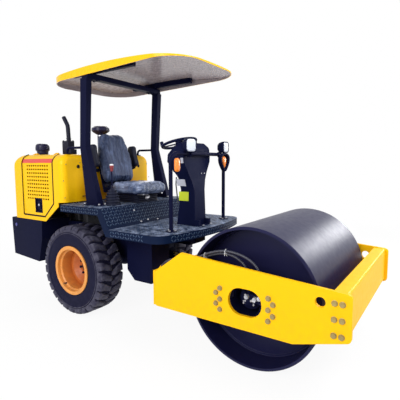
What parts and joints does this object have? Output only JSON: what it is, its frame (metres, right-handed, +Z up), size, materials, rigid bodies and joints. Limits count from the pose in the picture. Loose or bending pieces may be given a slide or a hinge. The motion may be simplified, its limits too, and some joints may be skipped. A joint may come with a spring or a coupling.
{
  "type": "single-drum road roller",
  "caption": "Articulated road roller with a smooth front drum in a plate frame, rear tyres, an open platform under a domed canopy, and an engine hood with lifting side doors.",
  "frame": {"origin": "on the ground, half way between the front of the side plates and the back of the counterweight, on the centre line", "axes": "+X forward along the machine, +Y to the operator's left, +Z up"},
  "size_m": [3.618, 1.41, 2.3398],
  "materials": {
    "yellow_paint": "satin",
    "black_paint": "satin",
    "rim_paint": "satin",
    "hose_rubber": "matte",
    "drum_steel": "satin",
    "engine_paint": "matte",
    "canopy_moulding": "gloss",
    "black_plastic": "matte",
    "amber_lens": "gloss",
    "black_rubber": "matte",
    "seat_vinyl": "satin",
    "exhaust_steel": "matte",
    "tyre_rubber": "matte",
    "rod_chrome": "polished"
  },
  "bodies": {
    "rear_frame": {"rear_frame": "black_paint", "rear_axle": "black_paint", "engine_block": "engine_paint", "counterweight": "black_paint", "tow_tongue": "black_paint", "hood": "yellow_paint", "platform": "black_paint", "fuel_tank": "black_paint", "battery_box": "black_paint", "steering_valve": "black_paint", "rops_post_right": "black_paint", "rops_post_left": "black_paint", "post_stays": "black_paint", "rops_crossbar": "black_paint", "canopy": "canopy_moulding", "canopy_rails": "black_paint", "console": "black_plastic", "steering_column": "black_paint", "lamp_frame": "black_paint", "headlamps": "black_plastic", "indicators": "amber_lens", "seat_suspension": "black_rubber", "seat_frame": "black_paint", "seat_cushion": "seat_vinyl", "seat_back": "seat_vinyl", "armrests": "seat_vinyl", "travel_lever": "black_rubber", "exhaust": "exhaust_steel", "intake_cap": "black_plastic", "air_precleaner": "black_plastic"},
    "hood_door_right": {"hood_door_right": "yellow_paint"},
    "hood_door_left": {"hood_door_left": "yellow_paint"},
    "steering_wheel": {"steering_wheel": "black_plastic"},
    "wheel_right": {"tyre_right": "tyre_rubber", "rim_right": "rim_paint"},
    "wheel_left": {"tyre_left": "tyre_rubber", "rim_left": "rim_paint"},
    "front_frame": {"side_plate_right": "yellow_paint", "side_plate_left": "yellow_paint", "front_beam": "yellow_paint", "rear_crossmember": "yellow_paint", "drum_carrier_right": "black_paint", "drum_carrier_left": "black_paint", "drum_motor": "black_paint", "drum_bearing": "black_paint", "drum_hose_outer": "hose_rubber", "drum_hose_inner": "hose_rubber"},
    "drum": {"drum": "drum_steel"},
    "steer_barrel": {"steer_barrel": "black_paint"},
    "steer_rod": {"steer_rod": "rod_chrome"}
  },
  "joints": [
    {"name": "hood_door_right_lift", "type": "hinge", "parent": "rear_frame", "child": "hood_door_right", "pos_m": [-1.319, -0.501, 1.528], "axis": [-1, 0, 0], "range_deg": [0, 75]},
    {"name": "hood_door_left_lift", "type": "hinge", "parent": "rear_frame", "child": "hood_door_left", "pos_m": [-1.319, 0.501, 1.528], "axis": [1, 0, 0], "range_deg": [0, 75]},
    {"name": "steering_wheel_turn", "type": "hinge", "parent": "rear_frame", "child": "steering_wheel", "pos_m": [0.067, 0, 1.615], "axis": [-0.2588, 0, 0.9659], "continuous": true},
    {"name": "wheel_right_spin", "type": "hinge", "parent": "rear_frame", "child": "wheel_right", "pos_m": [-0.691, -0.5645, 0.425], "axis": [0, 1, 0], "continuous": true},
    {"name": "wheel_left_spin", "type": "hinge", "parent": "rear_frame", "child": "wheel_left", "pos_m": [-0.691, 0.5645, 0.425], "axis": [0, 1, 0], "continuous": true},
    {"name": "articulation", "type": "hinge", "parent": "rear_frame", "child": "front_frame", "pos_m": [0.071, 0, 0.435], "axis": [0, 0, 1], "range_deg": [-30, 30]},
    {"name": "drum_spin", "type": "hinge", "parent": "front_frame", "child": "drum", "pos_m": [1.121, 0, 0.5], "axis": [0, 1, 0], "continuous": true},
    {"name": "steer_barrel_swing", "type": "hinge", "parent": "rear_frame", "child": "steer_barrel", "pos_m": [-0.369, 0.2, 0.435], "axis": [0, 0, 1], "range_deg": [-9, 9]},
    {"name": "steer_rod_slide", "type": "slide", "parent": "steer_barrel", "child": "steer_rod", "axis": [0.9999, -0.016, 0], "range_m": [-0.102, 0.102]}
  ],
  "couplings": [
    {"joint": "steer_barrel_swing", "follows": "articulation", "ratio": 0.28988},
    {"joint": "steer_rod_slide", "follows": "articulation", "m_per_rad": -0.1911}
  ]
}
